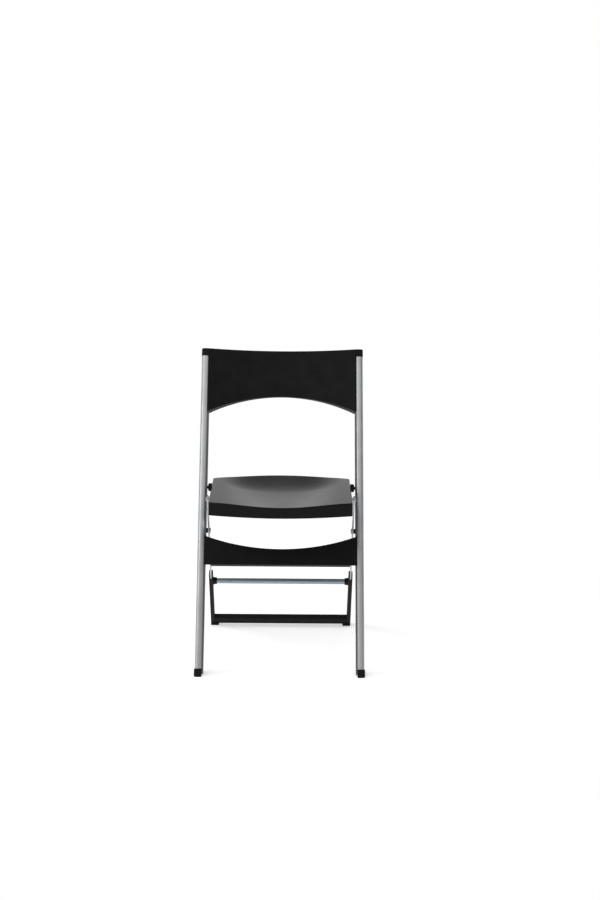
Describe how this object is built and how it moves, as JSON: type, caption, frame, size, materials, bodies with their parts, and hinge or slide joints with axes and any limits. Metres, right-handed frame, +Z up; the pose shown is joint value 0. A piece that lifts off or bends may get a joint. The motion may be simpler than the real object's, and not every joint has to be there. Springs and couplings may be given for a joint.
{
  "type": "folding chair",
  "caption": "Flat-folding chair with leaning aluminium uprights, black moulded back, seat and front panel, and a pivoting rear leg frame.",
  "frame": {"origin": "centre of the footprint box on the floor, chair open", "axes": "+Z up, +X across the chair to the right of somebody who faces it, -Y the way the seated person faces"},
  "size_m": [0.449, 0.4836, 0.7897],
  "materials": {
    "aluminium": "satin anodised extrusion",
    "black_plastic": "fine-grained moulded plastic",
    "seat_plastic": "textured moulded plastic",
    "strip_plastic": "extruded plastic",
    "zinc_steel": "zinc plated",
    "tube_steel": "bright chrome plated tube",
    "rubber": "moulded rubber"
  },
  "bodies": {
    "front_frame": {"back_screws": "zinc_steel", "backrest": "black_plastic", "front_foot_left": "rubber", "front_foot_right": "rubber", "front_panel": "black_plastic", "glide_track_left": "strip_plastic", "glide_track_right": "strip_plastic", "leg_pivot_pin_left": "zinc_steel", "leg_pivot_pin_right": "zinc_steel", "lower_strip_left": "strip_plastic", "lower_strip_right": "strip_plastic", "panel_screws": "zinc_steel", "pivot_block_left": "black_plastic", "pivot_block_right": "black_plastic", "pivot_spacer_left": "black_plastic", "pivot_spacer_right": "black_plastic", "upright_left": "aluminium", "upright_right": "aluminium"},
    "rear_legs": {"cross_tube": "tube_steel", "leg_bar_left": "zinc_steel", "leg_bar_right": "zinc_steel", "leg_screws": "zinc_steel", "lower_leg_left": "black_plastic", "lower_leg_right": "black_plastic", "rear_crossbar": "black_plastic", "rear_foot_left": "rubber", "rear_foot_right": "rubber", "tube_inserts": "zinc_steel", "tube_screws": "zinc_steel", "tube_socket_left": "black_plastic", "tube_socket_right": "black_plastic"},
    "seat": {"glide_left": "black_plastic", "glide_right": "black_plastic", "glide_screw_left": "zinc_steel", "glide_screw_right": "zinc_steel", "rail_rivets": "zinc_steel", "seat_pivot_pin_left": "zinc_steel", "seat_pivot_pin_right": "zinc_steel", "seat_rail_left": "zinc_steel", "seat_rail_right": "zinc_steel", "seat_shell": "seat_plastic", "seat_spacer_left": "zinc_steel", "seat_spacer_right": "zinc_steel"}
  },
  "joints": [
    {"name": "leg_fold", "type": "hinge", "parent": "front_frame", "child": "rear_legs", "pos_m": [0, -0.02879, 0.33602], "axis": [-1, 0, 0], "range_deg": [0, 60.5]},
    {"name": "seat_fold", "type": "hinge", "parent": "rear_legs", "child": "seat", "pos_m": [0, -0.09071, 0.44114], "axis": [1, 0, 0], "range_deg": [0, 121]}
  ],
  "couplings": [
    {"joint": "seat_fold", "follows": "leg_fold", "ratio": 2}
  ]
}
